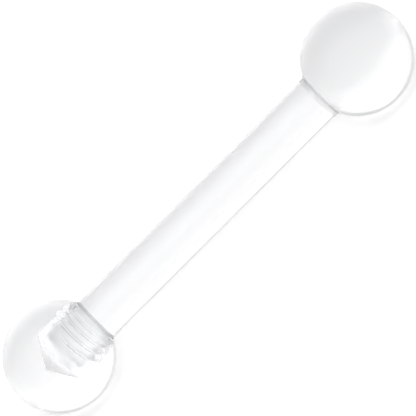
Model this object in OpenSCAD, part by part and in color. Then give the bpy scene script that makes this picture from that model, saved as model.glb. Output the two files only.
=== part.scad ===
// Straight barbell for a piercing: a clear bar moulded in one piece with its fixed ball,
// and a screw ball, tapped from one side, on its threaded end.
// Millimetres. The barbell lies on its two balls on z = 0, with the bar along X and its
// middle over the origin. The screw ball is at +X and comes off that way.

/* [Balls] */
// Diameter of the fixed ball and of the screw ball
ball_d = 3; // [2.8:0.1:5]

/* [Bar] */
// Diameter of the bar, 16 gauge
bar_d = 1.3; // [1.28:0.02:1.4]
// Length of bar that shows between the two balls
bar_len = 8.3; // [5:0.1:30]

/* [Tapped hole] */
// Diameter of the drilled hole, which is the crest of the ball's thread
drill_d = 1.12; // [1.1:0.01:1.14]
// Diameter at the root of the ball's thread
tap_d = 1.23; // [1.2:0.01:1.24]
// Full point angle of the drill, degrees
drill_point = 118; // [90:2:140]
// How far past the ball's middle the full diameter of the hole goes
drill_past_middle = 0; // [-0.1:0.05:0.3]
// How far short of the hole's full depth the ball's thread stops
tap_short = 0.25; // [0.2:0.05:0.4]
// Depth of the seat for the bar's shoulder, measured from the edge of the ball's mouth
seat_depth = 0.1; // [0.06:0.01:0.15]
// Turn of both threads about the bar, degrees
thread_turn = 275; // [0:5:355]

/* [Threaded end of the bar] */
// Thread advance for each turn
pitch = 0.2; // [0.18:0.01:0.25]
// Diameter over the bar's thread
thread_d = 1.09; // [1.06:0.01:1.09]
// Diameter of the core under the bar's thread
core_d = 0.98; // [0.94:0.01:0.99]
// How far short of the ball's middle the bar ends
end_short = 0.1; // [0.05:0.05:0.3]
// Bevel on the end of the bar
end_bevel = 0.05; // [0.03:0.01:0.08]

/* [Fit] */
// Gap between the bar's shoulder and its seat, and round the bar in the mouth
seat_gap = 0.02; // [0.01:0.01:0.04]

/* [Hidden] */

clear_plastic = [0.93, 0.95, 0.96, 0.35];

ball_r = ball_d / 2;
bar_r = bar_d / 2;
drill_r = drill_d / 2;
tap_r = tap_d / 2;
thread_r = thread_d / 2;
core_r = core_d / 2;
mouth_r = bar_r + seat_gap;

// Along the bar's axis, from a ball's middle to the circle where the bar meets the ball
ball_to_bar = sqrt(ball_r * ball_r - bar_r * bar_r);
ball_x = bar_len / 2 + ball_to_bar;
// From the screw ball's middle to the floor of its seat
seat_at = ball_to_bar - seat_depth;
shoulder_x = ball_x - seat_at - seat_gap;
end_x = ball_x - end_short;
hole_end_x = ball_x + drill_past_middle;

// A 60 degree thread: half its width at the tip, and what each mm of depth adds
tip_half = 0.0125;
flank = tan(30);
// How far a thread's foot is sunk below the surface that it stands on
foot_sink = 0.03;
// Sections along one turn, and sections over which a thread fades in or out
turn_steps = 24;
fade_steps = 12;
// The ball's thread starts half way down its seat, and the bar's thread starts this far past
// the shoulder, so that the bar's ridge lies opposite the ball's groove
thread_lead = pitch + seat_gap - seat_depth / 2;

$fn = 96;

// Stands its children, made along Z, along the bar's axis from x
module along_bar(x) {
    translate([x, 0, ball_r]) rotate([0, 90, 0]) children();
}

// One section of a thread at each step: foot, tip, tip, foot, with the tip faded at the ends
function thread_points(foot_r, tip_r, steps) = [
    for (i = [0 : steps])
        let (angle = 360 * i / turn_steps,
             fade = min(1, 0.2 + i / fade_steps, 0.2 + (steps - i) / fade_steps),
             r = foot_r + (tip_r - foot_r) * fade,
             foot_half = tip_half + flank * (r - foot_r))
        for (p = [[foot_r, -foot_half], [r, -tip_half], [r, tip_half], [foot_r, foot_half]])
            [p[0] * cos(angle), p[0] * sin(angle), p[1] + pitch * i / turn_steps]
];

// Two triangles for each of the four sides of each step, and two for each end
function thread_faces(steps) = [
    for (i = [0 : steps - 1], side = [0 : 3])
        let (a = 4 * i + side, b = 4 * i + (side + 1) % 4)
        for (face = [[a, b, b + 4], [a, b + 4, a + 4]]) face,
    [3, 2, 1], [3, 1, 0],
    [4 * steps, 4 * steps + 1, 4 * steps + 2], [4 * steps, 4 * steps + 2, 4 * steps + 3]
];

// A right-hand thread ridge along Z, from z = 0 to length
module thread_ridge(foot_r, tip_r, length) {
    steps = floor(length / pitch * turn_steps);
    rotate([0, 0, thread_turn])
        polyhedron(points = thread_points(foot_r, tip_r, steps), faces = thread_faces(steps));
}

// The core of the bar's threaded end, with its bevel and its thread
module threaded_end() {
    core_len = end_x - shoulder_x;
    along_bar(shoulder_x) {
        translate([0, 0, -bar_r]) cylinder(r = core_r, h = bar_r + core_len - end_bevel);
        translate([0, 0, core_len - end_bevel])
            cylinder(r1 = core_r, r2 = core_r - end_bevel, h = end_bevel);
        translate([0, 0, thread_lead])
            thread_ridge(core_r - foot_sink, thread_r, core_len - thread_lead - end_bevel - pitch / 2);
    }
}

// The bar, its fixed ball and its threaded end, moulded as one
module bar() {
    color(clear_plastic) union() {
        along_bar(-ball_x) sphere(ball_r);
        along_bar(-ball_x) cylinder(r = bar_r, h = shoulder_x + ball_x);
        threaded_end();
    }
}

// What is cut out of the screw ball: drilled hole, drill point, thread and seat
module tapped_hole() {
    point_len = drill_r / tan(drill_point / 2);
    mouth_x = ball_x - ball_r;
    along_bar(mouth_x) cylinder(r = drill_r, h = hole_end_x - mouth_x);
    along_bar(hole_end_x) cylinder(r1 = drill_r, r2 = 0, h = point_len);
    along_bar(mouth_x) cylinder(r = mouth_r, h = ball_r - seat_at);
    along_bar(ball_x - seat_at - seat_depth / 2)
        thread_ridge(drill_r - foot_sink, tap_r,
                     hole_end_x - tap_short - ball_x + seat_at + seat_depth / 2);
}

// The ball that screws onto the bar
module screw_ball() {
    color(clear_plastic) difference() {
        along_bar(ball_x) sphere(ball_r);
        tapped_hole();
    }
}

bar();
screw_ball();
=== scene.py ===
"""A clear plastic straight barbell, lying on its two balls: a bar with a fixed ball, and a screw ball.

The sizes here are in millimetres, as in the part's source, and MM turns them into Blender's metres.
The bar lies along X with the screw ball at +X, and the floor is z = 0.
"""
import math

import bmesh
import bpy
from mathutils import Matrix, Vector


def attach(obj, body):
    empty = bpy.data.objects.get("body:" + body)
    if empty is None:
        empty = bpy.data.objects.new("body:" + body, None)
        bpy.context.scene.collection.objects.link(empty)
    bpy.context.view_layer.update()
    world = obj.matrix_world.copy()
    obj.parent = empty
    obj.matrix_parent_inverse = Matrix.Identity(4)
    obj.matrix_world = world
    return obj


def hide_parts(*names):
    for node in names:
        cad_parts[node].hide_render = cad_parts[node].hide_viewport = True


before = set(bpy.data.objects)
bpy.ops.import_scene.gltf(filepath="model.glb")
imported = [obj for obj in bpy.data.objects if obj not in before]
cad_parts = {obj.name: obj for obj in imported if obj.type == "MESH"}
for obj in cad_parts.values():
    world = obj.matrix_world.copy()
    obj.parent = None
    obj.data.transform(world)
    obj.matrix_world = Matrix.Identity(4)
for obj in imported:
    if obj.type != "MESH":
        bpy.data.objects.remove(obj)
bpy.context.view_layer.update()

MM = 0.001

# Driving sizes, the same as the part's
BALL_R = 1.5
BAR_R = 0.65
BAR_LEN = 8.3
DRILL_R = 0.56
TAP_R = 0.615
POINT_ANGLE = math.radians(118)
TAP_SHORT = 0.25
SEAT_DEPTH = 0.1
SEAT_GAP = 0.02
PITCH = 0.2
THREAD_TURN = math.radians(275)
THREAD_R = 0.545
THREAD_FLAT = 0.025
THREAD_ANGLE = math.radians(60)
CORE_R = 0.49
END_SHORT = 0.1
END_BEVEL = 0.05

# Sizes that the solids don't have: the fillet at the fixed ball, the duller ring there, and the soft corner
# of the shoulder
FILLET_R = 0.02
DULL_RING = 0.12
SHOULDER_ROUND = 0.015

# Places along the bar that follow from the driving sizes
BALL_TO_BAR = math.sqrt(BALL_R ** 2 - BAR_R ** 2)
BALL_X = BAR_LEN / 2 + BALL_TO_BAR
SEAT_X = BALL_X - BALL_TO_BAR + SEAT_DEPTH
SHOULDER_X = SEAT_X - SEAT_GAP
END_X = BALL_X - END_SHORT
MOUTH_R = BAR_R + SEAT_GAP
POINT_X = BALL_X + DRILL_R / math.tan(POINT_ANGLE / 2)
THREAD_PHASE_X = SEAT_X - SEAT_DEPTH / 2

# Fineness of the meshes: points round the axis, rings over a quarter of a ball, and steps over small arcs
ROUND = 192
QUARTER = 48
DULL_STEPS = 4
FILLET_STEPS = 12
SHOULDER_STEPS = 5

# A ring that keeps a corner crisp lies NEAR it. A thread leaves THREAD_CLEAR of plain wall at each end and
# runs out over THREAD_FADE points. Edges past SHARP_ANGLE aren't smoothed.
NEAR = 0.004
THREAD_CLEAR = 0.01
THREAD_FADE = ROUND / 6
SHARP_ANGLE = math.radians(25)

# Finishes of the bar and of the screw ball, in the order of their materials
CLEAR, CUT, DULL, FIXED = range(4)

# The plastic: its index of refraction, how rough its gloss is at least and at most, and how light its tone
# is. The part of the bar's and the fixed ball's tones that is deeper than clear acrylic's is painted shade,
# for the grey that shade under them gives through the plastic. The cut faces and the threaded end have a
# lower index, so that they come out as light as in the photo, and the duller ring is a little cloudy.
INDEX = 1.49
GLOSS = (0, 0.03)
BAR_PAINTED_SHADE_TONE = 0.86
FIXED_PAINTED_SHADE_TONE = 0.89
BALL_TONE = 0.985
CUT_TONE = 0.985
CUT_INDEX = 1.17
CUT_ROUGH = (0.3, 0.5)
THREAD_TONE = 0.98
THREAD_INDEX = 1.22
THREAD_ROUGH = (0.2, 0.35)
DULL_CLEAR = 0.8
DULL_ROUGH = (0.25, 0.35)

# Its fine grain: clouds between two tints, each written as what its red, green and blue add to the tone,
# clouds in the gloss, and the waves of a polished moulding. The scales are clouds or waves to a metre.
TINT_SCALE = 400
TINT_FROM = (-0.01, -0.005, 0)
TINT_TO = (0.005, 0.01, 0.015)
HAZE_SCALE = 1500
HAZE_DETAIL = 4
WAVE_SCALE = 900
WAVE_HEIGHT = 0.02
WAVE_STRENGTH = 0.02

# The floor: its half width in metres, its own glow and its clear coat
FLOOR_HALF = 0.5
FLOOR_TONE = 0.9
FLOOR_ROUGH = 0.9
FLOOR_GLOW = 0.72
FLOOR_COAT = 1
FLOOR_COAT_ROUGH = 0.1
FLOOR_COAT_INDEX = 1.5

# Brightness of the room on the camera's side, of the band round its middle and of the panel behind the
# barbell. BAND_EDGES are where each meets the next, in degrees from the camera's place.
ROOM = 0.35
BAND = 0.8
BEHIND = 1.17
BAND_EDGES = (88, 96, 115, 121)

# A flag that dims the light from one back corner: how much gets past it, where it is, and where its soft
# edge starts and ends, in degrees from its middle
FLAG = 0.8
FLAG_UP = 31
FLAG_ASIDE = 135
FLAG_EDGES = (14, 22)

# The key lamp: where it is, its half width in degrees, its distance in metres and its power in watts
KEY_UP = 68
KEY_ASIDE = 20
KEY_HALF = 17
KEY_AWAY = 4
KEY_ENERGY = 90

# The camera: where it looks from, its roll, its distance and clipping in metres, its sensor's width in
# millimetres, and the photo's width in pixels and its scale
CAMERA_UP = 35
CAMERA_ASIDE = 6
CAMERA_ROLL = math.radians(45)
CAMERA_AWAY = 0.3
CAMERA_CLIP = (0.01, 10)
SENSOR = 36
PHOTO_WIDTH = 416
PIXELS_PER_MM = 38.4

# How often light may go on inside clear plastic, off gloss and off the floor
CLEAR_BOUNCES = 64
GLOSSY_BOUNCES = 32
DIFFUSE_BOUNCES = 6


def direction(up, aside):
    """The direction some degrees above the horizon, and some degrees from +Y towards -X."""
    up, aside = math.radians(up), math.radians(aside)
    return Vector((-math.sin(aside) * math.cos(up), math.cos(aside) * math.cos(up), math.sin(up)))


def arc(middle_x, middle_r, radius, start, end, steps):
    """Points of an arc in an outline, as (x, r), from one angle to another, both in degrees from +X."""
    angles = [math.radians(start + (end - start) * i / steps) for i in range(steps + 1)]
    return [(middle_x + radius * math.cos(a), middle_r + radius * math.sin(a)) for a in angles]


class Turned:
    """A closed surface turned round the bar's axis, made ring by ring."""

    def __init__(self):
        self.bm = bmesh.new()
        self.last = None
        self.finish = CLEAR

    def vert(self, x, r, step):
        angle = THREAD_TURN + 2 * math.pi * step / ROUND
        return self.bm.verts.new((x * MM, r * math.sin(angle) * MM, (BALL_R - r * math.cos(angle)) * MM))

    def face(self, *corners):
        self.bm.faces.new(corners).material_index = self.finish

    def point(self, x):
        """A point on the axis, which starts the surface or closes it."""
        tip = self.bm.verts.new((x * MM, 0, BALL_R * MM))
        if self.last:
            for k in range(ROUND):
                self.face(self.last[k], self.last[(k + 1) % ROUND], tip)
        self.last = [tip]

    def ring(self, x, r):
        """The next ring, joined to the one before it."""
        new = [self.vert(x, r, k) for k in range(ROUND)]
        for k in range(ROUND):
            after = (k + 1) % ROUND
            if len(self.last) == 1:
                self.face(self.last[0], new[k], new[after])
            else:
                self.face(self.last[k], new[k], new[after], self.last[after])
        self.last = new

    def rings(self, outline):
        for x, r in outline:
            self.ring(x, r)

    def thread(self, start_x, end_x, foot_r, tip_r):
        """A right-hand thread on the wall of radius foot_r, from the last ring to a new one at end_x.

        It is a strip wound round the wall, one pitch wide, with the ridge or groove along its middle.
        Its edges are joined turn to turn, and a wedge of plain wall fills each end.
        """
        tip_half = THREAD_FLAT / 2
        foot_half = tip_half + math.tan(THREAD_ANGLE / 2) * abs(tip_r - foot_r)
        section = [(-PITCH / 2, 0), (-foot_half, 0), (-tip_half, 1),
                   (tip_half, 1), (foot_half, 0), (PITCH / 2, 0)]
        edge = len(section) - 1
        a_step = PITCH / ROUND
        first = math.ceil((start_x + THREAD_CLEAR + PITCH / 2 - THREAD_PHASE_X) / a_step)
        final = math.floor((end_x - THREAD_CLEAR - PITCH / 2 - THREAD_PHASE_X) / a_step)

        def strip_vert(i, column):
            along, height = section[column]
            fade = min(1, (i - first) / THREAD_FADE, (final - i) / THREAD_FADE)
            r = foot_r + (tip_r - foot_r) * height * fade
            return self.vert(THREAD_PHASE_X + a_step * i + along, r, i)

        strip = {(i, c): strip_vert(i, c) for i in range(first, final + 1) for c in range(edge)}
        for i in range(first, final + 1):
            strip[i, edge] = strip[i + ROUND, 0] if i + ROUND <= final else strip_vert(i, edge)
        for i in range(first, final):
            for c in range(edge):
                self.face(strip[i, c], strip[i, c + 1], strip[i + 1, c + 1], strip[i + 1, c])

        low = self.last
        for i in range(first, first + ROUND - 1):
            self.face(low[i % ROUND], low[(i + 1) % ROUND], strip[i + 1, 0], strip[i, 0])
        i = first + ROUND - 1
        self.face(low[i % ROUND], low[first % ROUND],
                  *[strip[first, c] for c in range(edge + 1)], strip[i, 0])

        high = [self.vert(end_x, foot_r, k) for k in range(ROUND)]
        for i in range(final - ROUND + 1, final):
            self.face(strip[i, edge], strip[i + 1, edge], high[(i + 1) % ROUND], high[i % ROUND])
        i = final - ROUND
        self.face(strip[i + 1, edge], high[(i + 1) % ROUND], high[i % ROUND],
                  *[strip[final, c] for c in range(edge, -1, -1)])
        self.last = high

    def make(self, name, materials):
        """The finished mesh object, smooth, with its corners sharp."""
        bmesh.ops.triangulate(self.bm, faces=[f for f in self.bm.faces if len(f.verts) > 4])
        bmesh.ops.recalc_face_normals(self.bm, faces=self.bm.faces)
        mesh = bpy.data.meshes.new(name)
        self.bm.to_mesh(mesh)
        self.bm.free()
        mesh.shade_smooth()
        mesh.set_sharp_from_angle(angle=SHARP_ANGLE)
        obj = bpy.data.objects.new(name, mesh)
        bpy.context.scene.collection.objects.link(obj)
        for material in materials:
            mesh.materials.append(material)
        return obj


def bar_piece():
    """The bar with its fixed ball and threaded end, one moulding."""
    body = Turned()
    body.finish = FIXED
    body.point(-BALL_X - BALL_R)
    fillet_up = BAR_R + FILLET_R
    fillet_along = math.sqrt((BALL_R + FILLET_R) ** 2 - fillet_up ** 2)
    meets = math.degrees(math.atan2(fillet_up, fillet_along))
    dull_from = meets + math.degrees(DULL_RING / BALL_R)
    body.rings(arc(-BALL_X, 0, BALL_R, 180, dull_from, 2 * QUARTER)[1:])
    body.finish = DULL
    body.rings(arc(-BALL_X, 0, BALL_R, dull_from, meets, DULL_STEPS)[1:])
    body.rings(arc(-BALL_X + fillet_along, fillet_up, FILLET_R, 180 + meets, 270, FILLET_STEPS)[1:])
    body.ring(-BALL_X + fillet_along + DULL_RING, BAR_R)
    body.finish = CLEAR
    body.rings([(-BAR_LEN / 4, BAR_R), (0, BAR_R), (BAR_LEN / 4, BAR_R), (BAR_LEN / 2, BAR_R)])
    body.finish = CUT
    corner_x = SHOULDER_X - SHOULDER_ROUND
    corner_r = BAR_R - SHOULDER_ROUND
    body.ring(corner_x - NEAR, BAR_R)
    body.rings(arc(corner_x, corner_r, SHOULDER_ROUND, 90, 0, SHOULDER_STEPS))
    body.rings([(SHOULDER_X, corner_r - NEAR), (SHOULDER_X, CORE_R)])
    body.thread(SHOULDER_X, END_X - END_BEVEL - NEAR, CORE_R, THREAD_R)
    body.rings([(END_X - END_BEVEL, CORE_R), (END_X, CORE_R - END_BEVEL)])
    body.point(END_X)
    # The bar's and the fixed ball's materials carry painted shade in their tones.
    return body.make("barbell_bar", [
        clear_plastic("clear_plastic_bar", BAR_PAINTED_SHADE_TONE, INDEX, GLOSS),
        clear_plastic("cut_plastic_bar", THREAD_TONE, THREAD_INDEX, THREAD_ROUGH),
        clear_plastic("dull_plastic_bar", BAR_PAINTED_SHADE_TONE, INDEX, DULL_ROUGH, DULL_CLEAR),
        clear_plastic("clear_plastic_fixed", FIXED_PAINTED_SHADE_TONE, INDEX, GLOSS)])


def ball_piece():
    """The screw ball, with its seat, its tapped hole and the mark of the drill's point."""
    body = Turned()
    body.point(BALL_X + BALL_R)
    mouth = 180 - math.degrees(math.asin(MOUTH_R / BALL_R))
    body.rings(arc(BALL_X, 0, BALL_R, 0, mouth, 2 * QUARTER)[1:])
    body.finish = CUT
    body.rings([(SEAT_X, MOUTH_R), (SEAT_X, DRILL_R)])
    body.thread(SEAT_X, BALL_X - TAP_SHORT, DRILL_R, TAP_R)
    body.ring(BALL_X, DRILL_R)
    body.point(POINT_X)
    return body.make("barbell_screw_ball", [
        clear_plastic("clear_plastic_ball", BALL_TONE, INDEX, GLOSS),
        clear_plastic("cut_plastic_ball", CUT_TONE, CUT_INDEX, CUT_ROUGH)])


def clear_plastic(name, tone, index, rough, clear=1):
    """Clear acrylic, darkened by a tone that on the bar and the fixed ball is partly painted shade, with
    faint clouds in its tint and its gloss and small waves in its surface.
    """
    material = bpy.data.materials.new(name)
    material.use_nodes = True
    nodes, links = material.node_tree.nodes, material.node_tree.links
    shader = nodes["Principled BSDF"]
    shader.inputs["IOR"].default_value = index
    shader.inputs["Transmission Weight"].default_value = clear
    where = nodes.new("ShaderNodeTexCoord")

    def noise(scale, detail=2):
        texture = nodes.new("ShaderNodeTexNoise")
        texture.inputs["Scale"].default_value = scale
        texture.inputs["Detail"].default_value = detail
        links.new(where.outputs["Object"], texture.inputs["Vector"])
        return texture.outputs["Fac"]

    tint = nodes.new("ShaderNodeMix")
    tint.data_type = "RGBA"
    tint.inputs["A"].default_value = [tone + shift for shift in TINT_FROM] + [1]
    tint.inputs["B"].default_value = [tone + shift for shift in TINT_TO] + [1]
    links.new(noise(TINT_SCALE), tint.inputs["Factor"])
    links.new(tint.outputs["Result"], shader.inputs["Base Color"])

    gloss = nodes.new("ShaderNodeMapRange")
    least, most = rough
    gloss.inputs["To Min"].default_value = least
    gloss.inputs["To Max"].default_value = most
    links.new(noise(HAZE_SCALE, HAZE_DETAIL), gloss.inputs["Value"])
    links.new(gloss.outputs["Result"], shader.inputs["Roughness"])

    bump = nodes.new("ShaderNodeBump")
    bump.inputs["Strength"].default_value = WAVE_STRENGTH
    bump.inputs["Distance"].default_value = WAVE_HEIGHT * MM
    links.new(noise(WAVE_SCALE), bump.inputs["Height"])
    links.new(bump.outputs["Normal"], shader.inputs["Normal"])
    return material


def floor_piece():
    """A wide pale floor that glows a little under a clear coat, like a light table."""
    mesh = bpy.data.meshes.new("floor")
    corners = [(-FLOOR_HALF, -FLOOR_HALF, 0), (FLOOR_HALF, -FLOOR_HALF, 0),
               (FLOOR_HALF, FLOOR_HALF, 0), (-FLOOR_HALF, FLOOR_HALF, 0)]
    mesh.from_pydata(corners, [], [(0, 1, 2, 3)])
    floor = bpy.data.objects.new("floor", mesh)
    bpy.context.scene.collection.objects.link(floor)
    material = bpy.data.materials.new("pale_floor")
    material.use_nodes = True
    shader = material.node_tree.nodes["Principled BSDF"]
    shader.inputs["Base Color"].default_value = (FLOOR_TONE, FLOOR_TONE, FLOOR_TONE, 1)
    shader.inputs["Roughness"].default_value = FLOOR_ROUGH
    shader.inputs["Specular IOR Level"].default_value = 0
    shader.inputs["Coat Weight"].default_value = FLOOR_COAT
    shader.inputs["Coat Roughness"].default_value = FLOOR_COAT_ROUGH
    shader.inputs["Coat IOR"].default_value = FLOOR_COAT_INDEX
    shader.inputs["Emission Color"].default_value = (1, 1, 1, 1)
    shader.inputs["Emission Strength"].default_value = FLOOR_GLOW
    mesh.materials.append(material)


def camera():
    """Above the +Y side, aimed at the bar's middle, and rolled so that the bar runs up to the right."""
    target = Vector((0, 0, BALL_R * MM))
    towards = direction(CAMERA_UP, CAMERA_ASIDE)
    along_bar = Vector((-1, 0, 0))
    right = (along_bar - towards * along_bar.dot(towards)).normalized()
    up = towards.cross(right)
    image_right = right * math.cos(CAMERA_ROLL) - up * math.sin(CAMERA_ROLL)
    image_up = right * math.sin(CAMERA_ROLL) + up * math.cos(CAMERA_ROLL)
    data = bpy.data.cameras.new("camera")
    data.sensor_width = SENSOR
    data.lens = SENSOR * CAMERA_AWAY / (PHOTO_WIDTH / PIXELS_PER_MM * MM)
    data.clip_start, data.clip_end = CAMERA_CLIP
    obj = bpy.data.objects.new("camera", data)
    place = target + towards * CAMERA_AWAY
    obj.matrix_world = Matrix((
        (image_right.x, image_up.x, towards.x, place.x),
        (image_right.y, image_up.y, towards.y, place.y),
        (image_right.z, image_up.z, towards.z, place.z),
        (0, 0, 0, 1)))
    bpy.context.scene.collection.objects.link(obj)
    bpy.context.scene.camera = obj


def world_light():
    """The room, dim on the camera's side and white behind the barbell, with one soft dim corner.

    It shows in the plastic and in the floor's coat, and doesn't light the floor itself.
    """
    world = bpy.data.worlds.new("studio")
    bpy.context.scene.world = world
    world.use_nodes = True
    nodes, links = world.node_tree.nodes, world.node_tree.links
    where = nodes.new("ShaderNodeTexCoord")

    def ramp(axis, stops):
        """Brightness by the angle from an axis, from (degrees, brightness) stops."""
        along = nodes.new("ShaderNodeVectorMath")
        along.operation = "DOT_PRODUCT"
        along.inputs[1].default_value = axis
        links.new(where.outputs["Generated"], along.inputs[0])
        place = nodes.new("ShaderNodeMapRange")
        place.inputs["From Min"].default_value = -1
        place.inputs["From Max"].default_value = 1
        links.new(along.outputs["Value"], place.inputs["Value"])
        colours = nodes.new("ShaderNodeValToRGB")
        elements = colours.color_ramp.elements
        while len(elements) < len(stops):
            elements.new(0.5)
        for element, (angle, value) in zip(elements, stops):
            element.position = (math.cos(math.radians(angle)) + 1) / 2
            element.color = (value, value, value, 1)
        links.new(place.outputs["Result"], colours.inputs["Fac"])
        return colours.outputs["Color"]

    room_to, band_from, band_to, behind_from = BAND_EDGES
    light = ramp(direction(CAMERA_UP, CAMERA_ASIDE), [
        (180, BEHIND), (behind_from, BEHIND), (band_to, BAND), (band_from, BAND), (room_to, ROOM), (0, ROOM)])
    inner, outer = FLAG_EDGES
    flag = ramp(direction(FLAG_UP, FLAG_ASIDE), [(180, 1), (outer, 1), (inner, FLAG), (0, FLAG)])
    shaded = nodes.new("ShaderNodeVectorMath")
    shaded.operation = "MULTIPLY"
    links.new(light, shaded.inputs[0])
    links.new(flag, shaded.inputs[1])
    links.new(shaded.outputs["Vector"], nodes["Background"].inputs["Color"])
    world.cycles_visibility.diffuse = False


def key_lamp():
    """A round soft lamp above the camera, which lights the floor and doesn't mirror in the gloss."""
    towards = direction(KEY_UP, KEY_ASIDE)
    lamp = bpy.data.lights.new("key", "AREA")
    lamp.shape = "DISK"
    lamp.size = 2 * KEY_AWAY * math.tan(math.radians(KEY_HALF))
    lamp.energy = KEY_ENERGY
    key = bpy.data.objects.new("key", lamp)
    key.location = towards * KEY_AWAY
    key.rotation_euler = towards.to_track_quat("Z", "Y").to_euler()
    key.visible_glossy = False
    bpy.context.scene.collection.objects.link(key)


def colour_and_bounces():
    """Plain colours, and enough bounces for light that goes back and forth inside clear plastic."""
    scene = bpy.context.scene
    scene.view_settings.view_transform = "Standard"
    scene.cycles.max_bounces = CLEAR_BOUNCES
    scene.cycles.transmission_bounces = CLEAR_BOUNCES
    scene.cycles.glossy_bounces = GLOSSY_BOUNCES
    scene.cycles.diffuse_bounces = DIFFUSE_BOUNCES


camera()
colour_and_bounces()
world_light()
key_lamp()
floor_piece()
bar = bar_piece()
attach(bar, "bar")
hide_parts("bar")
ball = ball_piece()
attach(ball, "screw_ball")
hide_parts("screw_ball")
